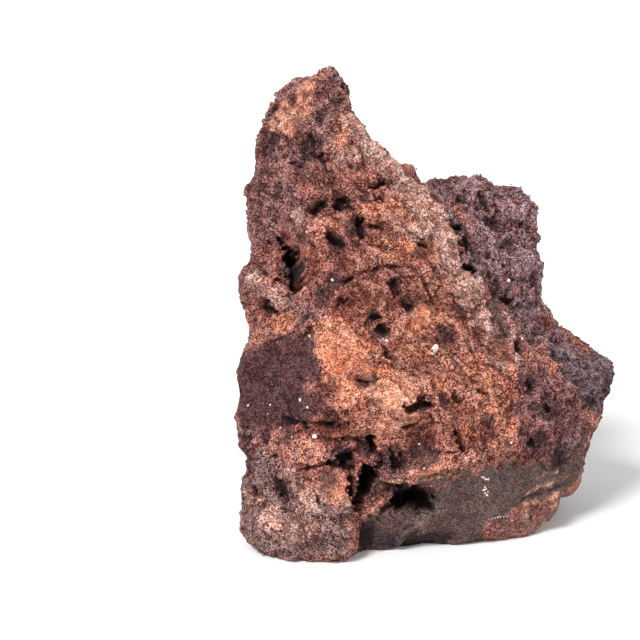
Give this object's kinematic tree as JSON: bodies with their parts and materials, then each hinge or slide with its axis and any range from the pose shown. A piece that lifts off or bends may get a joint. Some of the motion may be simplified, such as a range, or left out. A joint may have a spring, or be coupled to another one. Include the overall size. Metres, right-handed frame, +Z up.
{
  "type": "red lava rock",
  "caption": "Rough block of red-brown scoria with a peak at one side, a lower shoulder behind, a blunt spur and a flat base to stand on.",
  "frame": {"origin": "centre of the bounding box's bottom, on the floor that the rock stands on", "axes": "+Z up along the longest side; -Y faces the viewer of the picture; +X to the viewer's right"},
  "size_m": [0.239, 0.1996, 0.2814],
  "materials": {
    "scoria": "rough, dull, pitted red-brown stone"
  },
  "bodies": {
    "root": {"lava_rock": "scoria"}
  },
  "joints": []
}
